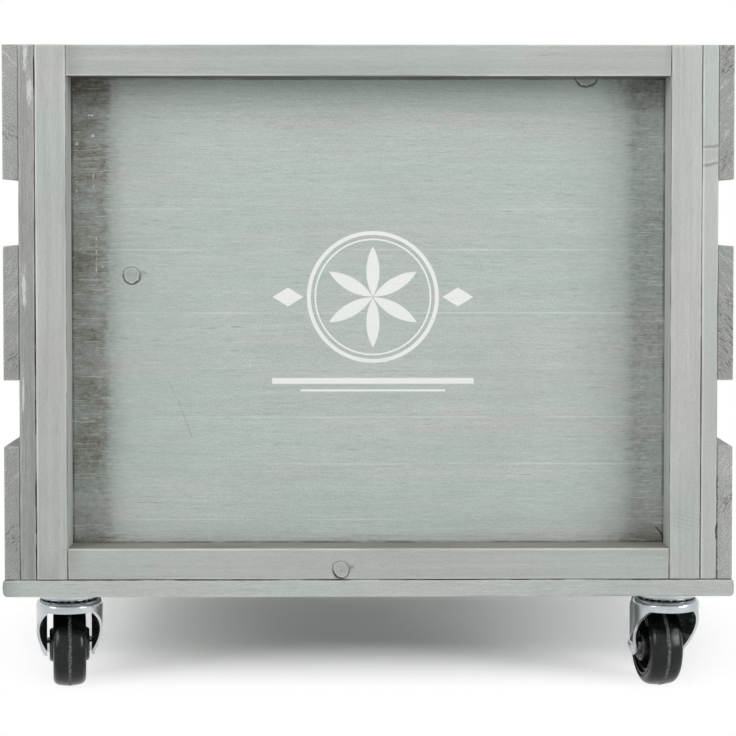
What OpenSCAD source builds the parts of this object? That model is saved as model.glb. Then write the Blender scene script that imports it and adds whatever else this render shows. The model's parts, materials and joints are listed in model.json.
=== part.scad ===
// Record crate on four swivel casters.
// A slatted pine box: a framed panel at the front and the back, three slats on
// each side, five boards underneath, and a steel swivel caster at each corner.
// Millimetres. +Z is up, the front faces -Y, and the origin lies on the floor
// under the middle of the crate.

/* [Crate] */
// Width of the front and back walls, between the side battens
wall_w = 342; // [320:1:400]
// Length of the crate, from the front face to the back face
crate_l = 360; // [350:1:420]
// Height of the walls above the base
wall_h = 275; // [230:1:330]
// Bevel planed along every edge of the boards
ease = 0.8; // [0.3:0.1:1.5]

/* [Front and back walls] */
// Width of the frame's battens, as seen from the front
frame_w = 16; // [12:0.5:30]
// Thickness of the frame's battens, front to back
frame_t = 20; // [12:0.5:26]
// Thickness of the wall panel behind each frame
panel_t = 9; // [6:0.5:14]

/* [Side walls] */
// Height of each side slat
slat_w = 69; // [50:1:80]
// Thickness of each side slat
slat_t = 8; // [6:0.5:12]
// Width of the upright batten behind the slats' ends
post_w = 45; // [40:1:60]
// Thickness of the upright batten
post_t = 8.5; // [7:0.5:14]

/* [Base] */
// Width of each base board
base_board_w = 69; // [62:1:71]
// Least gap between two base boards
base_gap_least = 2; // [1:0.5:4]
// Thickness of the base boards
base_t = 9; // [8:0.5:16]
// How far the base boards stand out past the side slats
base_lip = 1.5; // [0:0.5:4]

/* [Nails] */
// Diameter of the nails' shank
nail_d = 1.6; // [1.2:0.1:2]
// Diameter of the nails' head
nail_head_d = 3.2; // [2.6:0.1:4]
// Thickness of the nails' head, which is set flush
nail_head_t = 0.8; // [0.4:0.1:1.2]
// Length of the nails that hold a slat to its batten
short_nail_l = 14; // [11:0.5:15]
// Length of the nails through slat and batten into the frame
long_nail_l = 25; // [20:0.5:28]
// Length of the nails up through the base boards
base_nail_l = 20; // [15:0.5:24]
// Length of the pins through a panel into its frame
pin_l = 20; // [14:0.5:26]

/* [Caster position] */
// From the base's side edge to the swivel's centre
caster_inset_x = 29; // [29:0.5:42]
// From the front or back face to the swivel's centre
caster_inset_y = 40; // [34:0.5:45]
// How far the front left wheel is turned about its swivel, in degrees
turn_front_left = 9; // [-180:1:180]
// How far the front right wheel is turned
turn_front_right = 9; // [-180:1:180]
// How far the back left wheel is turned
turn_back_left = 13; // [-180:1:180]
// How far the back right wheel is turned
turn_back_right = 5; // [-180:1:180]

/* [Caster plate and swivel] */
// Height of a whole caster, from the floor to the base
caster_h = 59; // [58.6:0.2:70]
// Side of the square mounting plate
plate_w = 42; // [41:0.5:44]
// Thickness of the mounting plate
plate_t = 2; // [1.5:0.1:3]
// Distance between the plate's screw holes
screw_spacing = 32; // [31:0.25:33]
// Diameter of the plate's screw holes
screw_hole_d = 4.5; // [4:0.1:4.8]
// Diameter of the race pressed down from the plate, at its lower edge
race_d = 31.6; // [30.6:0.2:32.4]
// Diameter of the circle that the balls run on
track_d = 28; // [27.4:0.2:28.2]
// Diameter of a ball
ball_d = 3; // [2.6:0.1:3.2]
// Balls in each swivel
ball_count = 24; // [12:1:25]
// From the plate's top down to the balls' centres
ball_depth = 7.35; // [7:0.05:7.5]
// Diameter of the kingpin, which holds the fork to the plate
kingpin_d = 7.9; // [6:0.1:9]

/* [Caster fork] */
// Diameter of the fork's crown
crown_d = 35.2; // [34.6:0.2:37]
// From the plate's top down to the crown's lower edge
crown_depth = 13.5; // [13:0.1:13.8]
// Radius of the crown's shoulder
shoulder_r = 3; // [2:0.1:3.2]
// Thickness of the fork's steel
sheet_t = 1.6; // [1.2:0.1:2]
// From the swivel's centre back to the axle
trail = 16; // [15:0.5:17]
// Radius of the legs' rounded ends
leg_end_r = 6; // [5.8:0.1:6.6]
// How far the legs' front edge starts ahead of the swivel's centre
leg_front_y = 12; // [9:0.5:13]
// How far the legs' front edge is hollowed
leg_hollow = 1.2; // [0.2:0.1:2]
// Gap between the fork's legs, at the axle
leg_gap = 23.8; // [23.4:0.1:24.6]
// Diameter of the axle rivet
axle_d = 6; // [5:0.1:6.6]
// Diameter of the axle rivet's domed head
axle_head_d = 11.4; // [9:0.2:11.8]
// Height of the axle rivet's domed head
axle_head_h = 2.4; // [1.5:0.1:3]
// Diameter of the axle rivet's other end, which is hammered over
axle_tail_d = 9; // [8:0.2:10]
// Height of the hammered end
axle_tail_h = 1.2; // [0.8:0.1:1.6]

/* [Caster wheel] */
// Diameter of the wheel over its tyre
wheel_d = 45; // [40:0.5:45]
// Width of the tyre
wheel_w = 17.5; // [16:0.5:18.5]
// Diameter of the tyre's bore, where it sits on the hub
tyre_bore_d = 31.2; // [30:0.2:32]
// Radius of the tyre's shoulders
tyre_shoulder_r = 3.4; // [2:0.1:4]
// Length of the wheel's hub along the axle
hub_l = 21.4; // [20:0.2:22]
// Diameter of the hub's boss
hub_boss_d = 18; // [14:0.5:20]
// Outside diameter of the steel bush that the hub turns on
bush_d = 8; // [7.4:0.1:9]

/* [Hidden] */
$fn = 48;

// Gap round a fastener in its hole, and round a pin that something turns on
fit = 0.05;
// Gap between pieces that turn past each other, or that are dropped in
play = 0.1;

// Levels, sides and faces of the box
base_z = caster_h;
wall_z = base_z + base_t;
top_z = wall_z + wall_h;
post_x = wall_w / 2;
slat_x = post_x + post_t;
side_x = slat_x + slat_t;
base_w = 2 * (side_x + base_lip);
face_y = crate_l / 2;
slat_rows = 3;
slat_gap = (wall_h - slat_rows * slat_w) / (slat_rows - 1);
base_boards = floor((crate_l + base_gap_least) / (base_board_w + base_gap_least));
base_gap = (crate_l - base_boards * base_board_w) / (base_boards - 1);

// Where the nails go
nail_hole_d = nail_d + 2 * fit;
nail_point_l = 2;
nail_point_d = 0.4;
// Distance of the nails from a board's middle, as a share of its width
nail_spread = 0.3;
slat_nail_dz = slat_w * nail_spread;
long_nail_y = face_y - frame_t / 2;
short_nail_y = face_y - frame_t - panel_t - (post_w - frame_t - panel_t) / 2;
base_nail_dy = base_board_w * nail_spread;
base_nail_x = slat_x + slat_t / 2;
rail_nail_y = face_y - frame_t / 2;
rail_nails = 4;
rail_nail_pitch = (wall_w - 2 * frame_w) / rail_nails;
stile_pins = 4;
stile_pin_pitch = wall_h / stile_pins;
rail_pins = rail_nails - 1;

// Caster, from the plate's top down
plate_corner_r = 4;
screw_head_d = 8;
screw_head_h = 2.4;
screw_head_r = 5.6;
screw_cross_l = 4.5;
screw_cross_w = 1;
screw_cross_h = 1.4;
screw_d = 3.9;
screw_l = 9.5;
screw_point_l = 2.5;
screw_point_d = 0.8;
race_lift = 0.45;
race_z = -ball_depth + race_lift;
crown_z = -ball_depth - race_lift;
race_web_t = 2.4;
race_slope = 3;
crown_web_t = 2.6;
kingpin_hole_d = kingpin_d + 2 * fit;
kingpin_head_d = 13;
kingpin_head_h = 2.1;
groove_r = ball_d / 2 + fit;

// Fork and wheel
crown_r = crown_d / 2;
crown_low_z = -crown_depth;
axle_z = wheel_d / 2 - caster_h;
leg_back_y = trail + leg_end_r;
leg_low_z = axle_z - leg_end_r;
leg_wrap_a = 50;
leg_steps = 12;
rim_t = 2;
rim_w = wheel_w - 3;
web_t = 4.8;
web_step = 0.8;
boss_bevel = 1;
tyre_groove_r = 0.7;
tyre_groove_in = 1.6;

sides = [-1, 1];
// Each corner: name, side along X, side along Y, turn of its wheel
corners = [
    ["front_left", -1, -1, turn_front_left],
    ["front_right", 1, -1, turn_front_right],
    ["back_left", -1, 1, turn_back_left],
    ["back_right", 1, 1, turn_back_right]
];
rows = ["bottom", "middle", "top"];

function slat_low_z(row) = wall_z + row * (slat_w + slat_gap);
function base_board_low_y(i) = -face_y + i * (base_board_w + base_gap);

// A rectangle with its corners cut off, from the origin
module eased_rect(w, h) {
    polygon([[ease, 0], [w - ease, 0], [w, ease], [w, h - ease],
        [w - ease, h], [ease, h], [0, h - ease], [0, ease]]);
}

// A sawn board with every edge eased, from its lowest corner
module board(low, size) {
    translate(low) intersection() {
        linear_extrude(size.z) eased_rect(size.x, size.y);
        translate([0, size.y, 0]) rotate([90, 0, 0]) linear_extrude(size.y) eased_rect(size.x, size.z);
        rotate([90, 0, 90]) linear_extrude(size.x) eased_rect(size.y, size.z);
    }
}

// A nail that is driven along +Z, with the top of its head at the origin
module nail(l) {
    cylinder(d = nail_head_d, h = nail_head_t);
    cylinder(d = nail_d, h = l - nail_point_l);
    translate([0, 0, l - nail_point_l]) cylinder(d1 = nail_d, d2 = nail_point_d, h = nail_point_l);
}

// The hole for such a nail, with a seat for its head
module nail_hole(l) {
    translate([0, 0, -play]) cylinder(d = nail_head_d + 2 * fit, h = nail_head_t + play);
    translate([0, 0, -play]) cylinder(d = nail_hole_d, h = l + 2 * play);
}

// Places of the nails, as children drawn along the way each nail is driven
module at_short_nails() {
    for (sx = sides, sy = sides, row = [0 : slat_rows - 1], dz = sides)
        translate([sx * side_x, sy * short_nail_y, slat_low_z(row) + slat_w / 2 + dz * slat_nail_dz])
            rotate([0, -sx * 90, 0]) children();
}

module at_long_nails() {
    for (sx = sides, sy = sides, row = [0 : slat_rows - 1], dz = sides)
        translate([sx * side_x, sy * long_nail_y, slat_low_z(row) + slat_w / 2 + dz * slat_nail_dz])
            rotate([0, -sx * 90, 0]) children();
}

module at_base_nails() {
    for (i = [0 : base_boards - 1], sx = sides, dy = sides)
        translate([sx * base_nail_x, base_board_low_y(i) + base_board_w / 2 + dy * base_nail_dy, base_z])
            children();
    for (sy = sides, k = [0 : rail_nails - 1])
        translate([(k - (rail_nails - 1) / 2) * rail_nail_pitch, sy * rail_nail_y, base_z]) children();
}

module at_pins() {
    for (sy = sides) translate([0, sy * (face_y - frame_t - panel_t), 0]) {
        for (sx = sides, k = [0 : stile_pins - 1])
            translate([sx * (wall_w - frame_w) / 2, 0, wall_z + (k + 0.5) * stile_pin_pitch])
                rotate([-sy * 90, 0, 0]) children();
        for (z = [wall_z + frame_w / 2, top_z - frame_w / 2], k = [0 : rail_pins - 1])
            translate([(k - (rail_pins - 1) / 2) * rail_nail_pitch, 0, z])
                rotate([-sy * 90, 0, 0]) children();
    }
}

// Base board i, counted from the front, side to side under the walls
module base_board(i) {
    color([0.70, 0.72, 0.70]) difference() {
        board([-base_w / 2, base_board_low_y(i), base_z], [base_w, base_board_w, base_t]);
        at_base_nails() nail_hole(base_nail_l);
        if (i == 0 || i == base_boards - 1)
            at_screws() screw_hole();
    }
}

// Upright batten in a corner, behind the slats' ends
module post(sx, sy) {
    color([0.62, 0.63, 0.60]) difference() {
        board([sx > 0 ? post_x : -slat_x, sy > 0 ? face_y - post_w : -face_y, wall_z],
            [post_t, post_w, wall_h]);
        at_short_nails() nail_hole(short_nail_l);
        at_long_nails() nail_hole(long_nail_l);
    }
}

// Side slat, front to back across the battens' outer faces
module slat(sx, row) {
    color([0.66, 0.68, 0.66]) difference() {
        board([sx > 0 ? slat_x : -side_x, -face_y, slat_low_z(row)], [slat_t, crate_l, slat_w]);
        at_short_nails() nail_hole(short_nail_l);
        at_long_nails() nail_hole(long_nail_l);
        if (row == 0) at_base_nails() nail_hole(base_nail_l);
    }
}

// Wall panel, glued up from boards, behind its frame
module panel(sy) {
    color([0.69, 0.73, 0.70]) difference() {
        board([-wall_w / 2, sy > 0 ? face_y - frame_t - panel_t : -face_y + frame_t, wall_z],
            [wall_w, panel_t, wall_h]);
        at_pins() nail_hole(pin_l);
    }
}

// Frame stile, the full height of the wall
module stile(sx, sy) {
    color([0.72, 0.73, 0.71]) difference() {
        board([sx > 0 ? wall_w / 2 - frame_w : -wall_w / 2, sy > 0 ? face_y - frame_t : -face_y, wall_z],
            [frame_w, frame_t, wall_h]);
        at_long_nails() nail_hole(long_nail_l);
        at_pins() nail_hole(pin_l);
    }
}

// Frame rail between the stiles, at the foot or the head of the wall
module rail(sy, z) {
    color([0.68, 0.71, 0.68]) difference() {
        board([-wall_w / 2 + frame_w, sy > 0 ? face_y - frame_t : -face_y, z],
            [wall_w - 2 * frame_w, frame_t, frame_w]);
        at_base_nails() nail_hole(base_nail_l);
        at_pins() nail_hole(pin_l);
    }
}

// Puts a child, drawn down from the mounting plate's top, at a corner
module at_corner(c, turned = false) {
    translate([c[1] * (base_w / 2 - caster_inset_x), c[2] * (face_y - caster_inset_y), base_z])
        rotate([0, 0, turned ? c[3] : 0]) children();
}

// Puts a child at each screw of each plate
module at_screws() {
    for (c = corners) at_corner(c)
        for (dx = sides, dy = sides)
            translate([dx * screw_spacing / 2, dy * screw_spacing / 2, 0]) children();
}

// Cross-head screw, up through the plate into the base board
module screw() {
    translate([0, 0, -plate_t - screw_head_h]) difference() {
        intersection() {
            cylinder(d = screw_head_d, h = screw_head_h);
            translate([0, 0, screw_head_r]) sphere(r = screw_head_r);
        }
        for (a = [0, 90]) rotate([0, 0, a])
            translate([-screw_cross_l / 2, -screw_cross_w / 2, -play])
                cube([screw_cross_l, screw_cross_w, screw_cross_h + play]);
    }
    translate([0, 0, -plate_t - play]) cylinder(d = screw_d, h = screw_l - screw_point_l + play);
    translate([0, 0, -plate_t + screw_l - screw_point_l])
        cylinder(d1 = screw_d, d2 = screw_point_d, h = screw_point_l);
}

module screw_hole() {
    translate([0, 0, -play]) cylinder(d = screw_d + 2 * fit, h = screw_l - plate_t + 3 * play);
}

// Square plate with four holes and the upper ball race pressed down from it
module plate() {
    cup_r = race_d / 2;
    rim_r = cup_r + race_slope;
    color([0.78, 0.79, 0.80]) {
        difference() {
            translate([0, 0, -plate_t]) linear_extrude(plate_t) plate_outline();
            translate([0, 0, -plate_t - play]) cylinder(r = rim_r, h = plate_t + 2 * play);
            for (dx = sides, dy = sides)
                translate([dx * screw_spacing / 2, dy * screw_spacing / 2, -plate_t - play])
                    cylinder(d = screw_hole_d, h = plate_t + 2 * play);
        }
        rotate_extrude() difference() {
            polygon([[kingpin_hole_d / 2, race_z], [cup_r, race_z], [rim_r, -plate_t],
                [rim_r + play, -plate_t], [rim_r + play, 0], [rim_r - plate_t, 0],
                [cup_r - race_web_t, race_z + race_web_t], [kingpin_hole_d / 2, race_z + race_web_t]]);
            translate([track_d / 2, -ball_depth]) circle(groove_r);
        }
    }
}

module plate_outline() {
    inner = plate_w / 2 - plate_corner_r;
    square([plate_w, 2 * inner], center = true);
    square([2 * inner, plate_w], center = true);
    for (dx = sides, dy = sides) translate([dx * inner, dy * inner]) circle(plate_corner_r);
}

// Rivet that carries the fork: headed over in the plate's cup and under the crown
module kingpin() {
    low_z = crown_z - crown_web_t - play;
    high_z = race_z + race_web_t;
    bevel = kingpin_head_h / 3;
    color([0.72, 0.73, 0.75]) rotate_extrude() polygon([
        [0, high_z + kingpin_head_h], [kingpin_head_d / 2 - bevel, high_z + kingpin_head_h],
        [kingpin_head_d / 2, high_z + kingpin_head_h - bevel], [kingpin_head_d / 2, high_z],
        [kingpin_d / 2, high_z], [kingpin_d / 2, low_z],
        [kingpin_head_d / 2, low_z], [kingpin_head_d / 2, low_z - kingpin_head_h + bevel],
        [kingpin_head_d / 2 - bevel, low_z - kingpin_head_h], [0, low_z - kingpin_head_h]]);
}

// The ring of balls between the plate's race and the fork's crown
module balls() {
    for (i = [0 : ball_count - 1]) rotate([0, 0, i * 360 / ball_count])
        translate([track_d / 2, 0, -ball_depth]) sphere(d = ball_d);
}

// Pressed crown: a round cap with the lower ball race in its top
module crown() {
    rotate_extrude() difference() {
        union() {
            translate([0, crown_low_z]) square([crown_r, crown_z - shoulder_r - crown_low_z]);
            translate([0, crown_z - shoulder_r]) square([crown_r - shoulder_r, shoulder_r]);
            intersection() {
                translate([crown_r - shoulder_r, crown_z - shoulder_r]) circle(shoulder_r);
                translate([0, crown_low_z]) square([crown_r, crown_depth]);
            }
        }
        translate([0, crown_low_z - play])
            square([crown_r - sheet_t, crown_z - crown_web_t - crown_low_z + play]);
        translate([0, crown_low_z]) square([kingpin_hole_d / 2, crown_depth]);
        translate([track_d / 2, -ball_depth]) circle(groove_r);
    }
}

// Points along an arc, from angle a0 to angle a1
function arc(centre, r, a0, a1, steps) =
    [for (i = [0 : steps]) centre + r * [cos(a0 + (a1 - a0) * i / steps), sin(a0 + (a1 - a0) * i / steps)]];

// A leg seen from the side, front to the left: a hollowed slope down from the
// crown, which runs into the round end about the axle
module leg_side() {
    high_z = crown_z - shoulder_r;
    back_cut = shoulder_r + sheet_t;
    top = [-leg_front_y, crown_low_z];
    end = [trail, axle_z];
    reach = norm(end - top);
    slope_a = atan2(end.y - top.y, end.x - top.x) - asin(leg_end_r / reach);
    touch = end + leg_end_r * [sin(slope_a), -cos(slope_a)];
    inward = [-sin(slope_a), cos(slope_a)];
    touch_a = slope_a - 90;
    polygon(concat(
        [[-crown_r, high_z], [-crown_r, crown_low_z]],
        [for (i = [0 : leg_steps], t = [i / leg_steps])
            top + t * (touch - top) + 4 * t * (1 - t) * leg_hollow * inward],
        arc(end, leg_end_r, touch_a - touch_a / leg_steps, 0, leg_steps - 1),
        [[leg_back_y, high_z - back_cut], [leg_back_y - back_cut, high_z]]));
}

// A leg seen from above: it follows the crown's rim round to the side, and then
// runs straight back past the wheel
module leg_plan(side) {
    out_r = crown_r - fit;
    in_r = out_r - sheet_t + 2 * fit;
    in_x = leg_gap / 2;
    out_x = in_x + sheet_t;
    end_y = leg_back_y + play;
    points = concat(
        arc([0, 0], out_r, -leg_wrap_a, acos(out_x / out_r), leg_steps),
        [[out_x, end_y], [in_x, end_y]],
        arc([0, 0], in_r, acos(in_x / in_r), -leg_wrap_a, leg_steps));
    polygon([for (p = points) [side * p.x, p.y]]);
}

// Pressed steel fork: crown and two legs, with a hole for the axle
module fork() {
    color([0.80, 0.82, 0.83]) difference() {
        union() {
            crown();
            intersection() {
                translate([0, 0, leg_low_z - play]) linear_extrude(crown_z - shoulder_r - leg_low_z + play)
                    for (side = sides) leg_plan(side);
                translate([-crown_r, 0, 0]) rotate([90, 0, 90]) linear_extrude(2 * crown_r) leg_side();
            }
        }
        translate([0, trail, axle_z]) rotate([0, 90, 0])
            cylinder(d = axle_d + 2 * fit, h = 2 * crown_r, center = true);
    }
}

// A domed end of the axle rivet, drawn along +Z from the leg's face
module axle_dome(d, h) {
    dome_r = (pow(d / 2, 2) + pow(h, 2)) / (2 * h);
    intersection() {
        cylinder(d = d, h = 2 * h);
        translate([0, 0, h - dome_r]) sphere(r = dome_r, $fn = 64);
    }
}

// Rivet through both legs: a domed head on the left, hammered over on the right
module axle() {
    seat_x = leg_gap / 2 + sheet_t;
    color([0.74, 0.76, 0.77]) translate([0, trail, axle_z]) {
        rotate([0, 90, 0]) cylinder(d = axle_d, h = 2 * seat_x + play, center = true);
        rotate([0, -90, 0]) translate([0, 0, seat_x]) axle_dome(axle_head_d, axle_head_h);
        rotate([0, 90, 0]) translate([0, 0, seat_x]) axle_dome(axle_tail_d, axle_tail_h);
    }
}

// Steel tube on the axle between the legs, which the wheel turns on
module bush() {
    color([0.76, 0.77, 0.78]) translate([0, trail, axle_z]) rotate([0, 90, 0]) difference() {
        cylinder(d = bush_d, h = leg_gap - 2 * play, center = true);
        cylinder(d = axle_d + 2 * fit, h = leg_gap, center = true);
    }
}

// Moulded hub: boss, dished web and rim
module hub() {
    rim_r = tyre_bore_d / 2 - fit;
    boss_r = hub_boss_d / 2;
    half = [[rim_r, rim_w / 2], [rim_r - rim_t, rim_w / 2], [rim_r - rim_t - web_step, web_t / 2],
        [boss_r + web_step, web_t / 2], [boss_r, hub_l / 2 - boss_bevel],
        [boss_r - boss_bevel, hub_l / 2], [bush_d / 2 + fit, hub_l / 2]];
    color([0.10, 0.10, 0.11]) translate([0, trail, axle_z]) rotate([0, 90, 0]) rotate_extrude()
        polygon(concat(half, [for (i = [len(half) - 1 : -1 : 0]) [half[i].x, -half[i].y]]));
}

// Rubber tyre with round shoulders and a groove in each side wall
module tyre() {
    bore_r = tyre_bore_d / 2;
    out_r = wheel_d / 2;
    half_w = wheel_w / 2;
    color([0.13, 0.13, 0.13]) translate([0, trail, axle_z]) rotate([0, 90, 0]) rotate_extrude($fn = 96)
        difference() {
            union() {
                translate([bore_r, -half_w + tyre_shoulder_r])
                    square([out_r - bore_r, wheel_w - 2 * tyre_shoulder_r]);
                translate([bore_r, -half_w]) square([out_r - tyre_shoulder_r - bore_r, wheel_w]);
                for (side = sides) translate([out_r - tyre_shoulder_r, side * (half_w - tyre_shoulder_r)])
                    circle(tyre_shoulder_r);
            }
            for (side = sides) translate([bore_r + tyre_groove_in, side * half_w]) circle(tyre_groove_r);
        }
}

// The boards, from the base up
for (i = [0 : base_boards - 1])
    base_board(i);
for (c = corners)
    post(c[1], c[2]);
for (side = [["left", -1], ["right", 1]], row = [0 : slat_rows - 1])
    slat(side[1], row);
for (wall = [["front", -1], ["back", 1]]) {
    panel(wall[1]);
    stile(-1, wall[1]);
    stile(1, wall[1]);
    rail(wall[1], top_z - frame_w);
    rail(wall[1], wall_z);
}

// The fasteners
color("silver") at_short_nails() nail(short_nail_l);  // slat_nails
color("silver") at_long_nails() nail(long_nail_l);  // corner_nails
color("silver") at_base_nails() nail(base_nail_l);  // base_nails
color("silver") at_pins() nail(pin_l);  // panel_pins
color("silver") at_screws() screw();  // caster_screws

// The casters
color("silver") for (c = corners) at_corner(c) balls();  // swivel_balls
for (c = corners) {
    at_corner(c) plate();
    at_corner(c) kingpin();
    at_corner(c, true) fork();
    at_corner(c, true) axle();
    at_corner(c, true) bush();
    at_corner(c, true) hub();
    at_corner(c, true) tyre();
}
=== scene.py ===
"""Record crate: a slatted pine box with a grey-green wash, on four swivel casters."""
import json
import math

import bmesh
import bpy
import numpy as np
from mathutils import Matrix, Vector, noise


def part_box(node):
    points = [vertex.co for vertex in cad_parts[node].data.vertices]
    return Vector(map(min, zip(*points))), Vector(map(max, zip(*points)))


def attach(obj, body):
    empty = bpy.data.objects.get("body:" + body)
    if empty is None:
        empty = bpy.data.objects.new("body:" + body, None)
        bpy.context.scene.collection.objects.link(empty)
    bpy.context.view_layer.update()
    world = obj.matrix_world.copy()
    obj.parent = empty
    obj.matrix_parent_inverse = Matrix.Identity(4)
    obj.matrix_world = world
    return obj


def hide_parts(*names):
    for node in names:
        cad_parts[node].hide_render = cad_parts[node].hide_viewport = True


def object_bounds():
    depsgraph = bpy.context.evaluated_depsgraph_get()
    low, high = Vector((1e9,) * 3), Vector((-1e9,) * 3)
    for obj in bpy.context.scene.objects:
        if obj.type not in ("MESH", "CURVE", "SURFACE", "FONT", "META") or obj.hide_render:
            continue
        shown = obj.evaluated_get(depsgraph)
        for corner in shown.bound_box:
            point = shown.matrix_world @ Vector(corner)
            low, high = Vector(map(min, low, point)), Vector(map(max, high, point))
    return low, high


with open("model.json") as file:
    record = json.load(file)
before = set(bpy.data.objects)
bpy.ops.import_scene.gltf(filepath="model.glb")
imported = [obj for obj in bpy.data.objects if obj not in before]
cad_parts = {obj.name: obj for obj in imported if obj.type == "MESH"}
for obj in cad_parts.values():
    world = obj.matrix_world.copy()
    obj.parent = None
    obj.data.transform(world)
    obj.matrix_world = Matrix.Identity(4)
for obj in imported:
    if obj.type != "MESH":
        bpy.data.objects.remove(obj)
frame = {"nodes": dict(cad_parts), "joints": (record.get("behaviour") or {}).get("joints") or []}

cad_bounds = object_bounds()


# Camera
# A long lens a metre in front of the crate, a little above its middle. The lens is
# shifted down, as a view camera's is, so that the crate's uprights stay upright.
PHOTO_PX = 736
FOCAL_PX = 1930.4
SENSOR_MM = 36
CAMERA_PLACE = (-0.0086, -1.1697, 0.2562)
CAMERA_PITCH = 1.818
CAMERA_TURN = -0.473
HORIZON_SHIFT_PX = 92.3
NEAREST, FURTHEST = 0.05, 60


def placed(name, data):
    """A new object in the scene."""
    thing = bpy.data.objects.new(name, data)
    bpy.context.collection.objects.link(thing)
    return thing


camera_data = bpy.data.cameras.new("camera")
camera_data.sensor_width = SENSOR_MM
camera_data.lens = FOCAL_PX / PHOTO_PX * SENSOR_MM
camera_data.shift_y = -HORIZON_SHIFT_PX / PHOTO_PX
camera_data.clip_start = NEAREST
camera_data.clip_end = FURTHEST
camera = placed("camera", camera_data)
camera.location = CAMERA_PLACE
camera.rotation_euler = (math.radians(90 - CAMERA_PITCH), 0, math.radians(CAMERA_TURN))
bpy.context.scene.camera = camera
bpy.context.scene.view_settings.view_transform = "Standard"


# Base boards
# Five planed pine planks side to side under the walls. The outer two carry the
# casters, and the front one's edge shows below the front wall, chipped at its ends.
BOARD_STEP = 0.004
CORNER_STEPS = 4
END_STEPS = 3
CORNER_SIGNS = [(1, 1), (-1, 1), (-1, -1), (1, -1)]
# An arris is eased by a plane, then worn in long waves and chipped in short ones
EDGE_EASE = 0.00042
EDGE_WEAR = 0.0008
WEAR_WAVES = 22
WEAR_SWING = 0.35
CHIP_WAVES = 130
CHIP_FROM = 0.28
CHIP_SHARE = 1.5
LEAST_RADIUS = 0.0002
MOST_OF_HALF = 0.8
ARRIS_FRINGE = 0.0007
# How far the faces dip, and how near a face a point has to be to dip with it
FACE_DIP = 0.00012
FACE_BAND = 0.002
DIP_WAVES_ALONG, DIP_WAVES_ACROSS = 9, 25
BASE_END_EASE = 0.0024
BASE_WEAR = 0.0012


def evenly(low, high, step):
    """Places from low to high, about a step apart."""
    count = max(1, round((high - low) / step))
    return [low + (high - low) * i / count for i in range(count + 1)]


def skin(shape, loops, flat=None):
    """Faces between closed loops of points, smooth but for the one whose number is flat."""
    for first, second in zip(loops, loops[1:]):
        for i in range(len(first)):
            j = (i + 1) % len(first)
            shape.faces.new((first[i], first[j], second[j], second[i])).smooth = i != flat


def hardened(name, shape):
    """The object that a finished bmesh becomes."""
    data = bpy.data.meshes.new(name)
    shape.to_mesh(data)
    shape.free()
    return placed(name, data)


def fitted(piece, node, body):
    """Hides a CAD node, and hangs the piece that stands for it on a body."""
    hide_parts(node)
    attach(piece, body)
    return piece


def sawn_board(name, node, along, seed, wear, end_ease):
    """The board that stands for a CAD node, with its grain along axis 0, 1 or 2."""
    low, high = (np.array(corner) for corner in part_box(node))
    across = [axis for axis in range(3) if axis != along]
    middle = (low + high) / 2
    half = (high - low) / 2

    def corner_radius(where, corner):
        rough = noise.noise(Vector((where * WEAR_WAVES, seed * 7.3, corner * 3.1)))
        chips = max(0.0, noise.noise(Vector((where * CHIP_WAVES, seed * 3.7, corner * 5.9))) - CHIP_FROM)
        return EDGE_EASE * (1 + WEAR_SWING * rough) + wear * max(0.0, rough) + CHIP_SHARE * wear * chips

    def ring(where, inset):
        """The board's outline at one place down its length."""
        reach = [half[axis] - inset for axis in across]
        limit = min(reach) * MOST_OF_HALF
        radii = [min(max(corner_radius(where, k) + inset * 0.3, LEAST_RADIUS), limit) for k in range(4)]

        def on_corner(k, quarters):
            angle = math.pi / 2 * quarters
            return (CORNER_SIGNS[k][0] * (reach[0] - radii[k]) + radii[k] * math.cos(angle),
                    CORNER_SIGNS[k][1] * (reach[1] - radii[k]) + radii[k] * math.sin(angle))

        points = []
        for k in range(4):
            points += [on_corner(k, k + i / CORNER_STEPS) for i in range(CORNER_STEPS + 1)]
            (u0, v0), (u1, v1) = points[-1], on_corner((k + 1) % 4, k + 1)
            side = 2 * half[across[k % 2]]
            fringe = ARRIS_FRINGE / side
            for t in evenly(fringe, 1 - fringe, BOARD_STEP / side)[:-1] + [1 - fringe]:
                points.append((u0 + (u1 - u0) * t, v0 + (v1 - v0) * t))
        return points

    turns = [math.pi / 2 * i / END_STEPS for i in reversed(range(END_STEPS + 1))]
    ends = [(end_ease * (1 - math.sin(turn)), end_ease * (1 - math.cos(turn))) for turn in turns]
    inner = half[along] - end_ease - ARRIS_FRINGE
    stations = [(-half[along] + in_from_end, inset) for in_from_end, inset in ends]
    stations += [(place, 0.0) for place in evenly(-inner, inner, BOARD_STEP)]
    stations += [(half[along] - in_from_end, inset) for in_from_end, inset in reversed(ends)]

    shape = bmesh.new()
    rings = []
    for place, inset in stations:
        loop = []
        for spread in ring(place + middle[along], inset):
            u, v = (offset * DIP_WAVES_ACROSS for offset in spread)
            wave = noise.noise(Vector((place * DIP_WAVES_ALONG + seed, u, v)))
            spot = [middle[along] + place] * 3
            for axis, offset in zip(across, spread):
                dip = FACE_DIP * (0.5 + 0.5 * wave) if abs(offset) > half[axis] - FACE_BAND else 0.0
                spot[axis] = middle[axis] + offset - math.copysign(dip, offset)
            loop.append(shape.verts.new(spot))
        rings.append(loop)
    skin(shape, rings)
    for loop in (rings[0], rings[-1]):
        shape.faces.new(loop)
    bmesh.ops.recalc_face_normals(shape, faces=shape.faces)
    return hardened(name, shape)


def operation(name, *fixed, clamp=False):
    """A method that adds the Math node of this name."""
    return lambda self, *others: self.math(name, *others, *fixed, clamp=clamp)


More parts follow.
